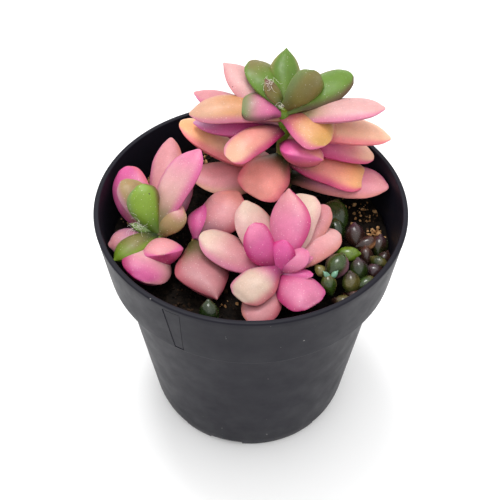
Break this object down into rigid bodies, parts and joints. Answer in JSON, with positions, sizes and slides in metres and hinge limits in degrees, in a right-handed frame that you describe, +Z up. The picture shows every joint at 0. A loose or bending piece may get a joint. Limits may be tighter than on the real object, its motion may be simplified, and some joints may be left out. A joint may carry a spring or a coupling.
{
  "type": "potted anacampseros succulent",
  "caption": "Small succulent with pink, peach and green fleshy leaves in rosettes, rooted in dark soil in a round black nursery pot with a wide collar.",
  "frame": {"origin": "centre of the pot's foot, on the surface it stands on", "axes": "+Z up along the pot's axis; +Y away from the side the picture was taken from; +X to the right in that view"},
  "size_m": [0.075, 0.075, 0.0926],
  "materials": {
    "pot": "satin black injection-moulded polypropylene, lightly scuffed",
    "soil": "dark moist potting mix with pale crumbs",
    "back_crown": "smooth waxy skin, yellow-green with a pink edge",
    "back_plant": "smooth waxy skin, cream-peach tips to magenta bases",
    "front_plant": "smooth waxy skin, cream-peach tips to magenta bases",
    "left_plant": "smooth waxy skin, peach to mauve-pink",
    "side_shoot": "smooth waxy skin, salmon",
    "green_shoot": "glossy dark green skin with bright highlights",
    "brown_shoot": "glossy purple-brown and olive skin",
    "front_shoot": "glossy brown-green skin"
  },
  "bodies": {
    "root": {"pot": "pot", "soil": "soil", "back_crown": "back_crown", "back_plant": "back_plant", "front_plant": "front_plant", "left_plant": "left_plant", "side_shoot": "side_shoot", "green_shoot": "green_shoot", "brown_shoot": "brown_shoot", "front_shoot": "front_shoot"}
  },
  "joints": []
}
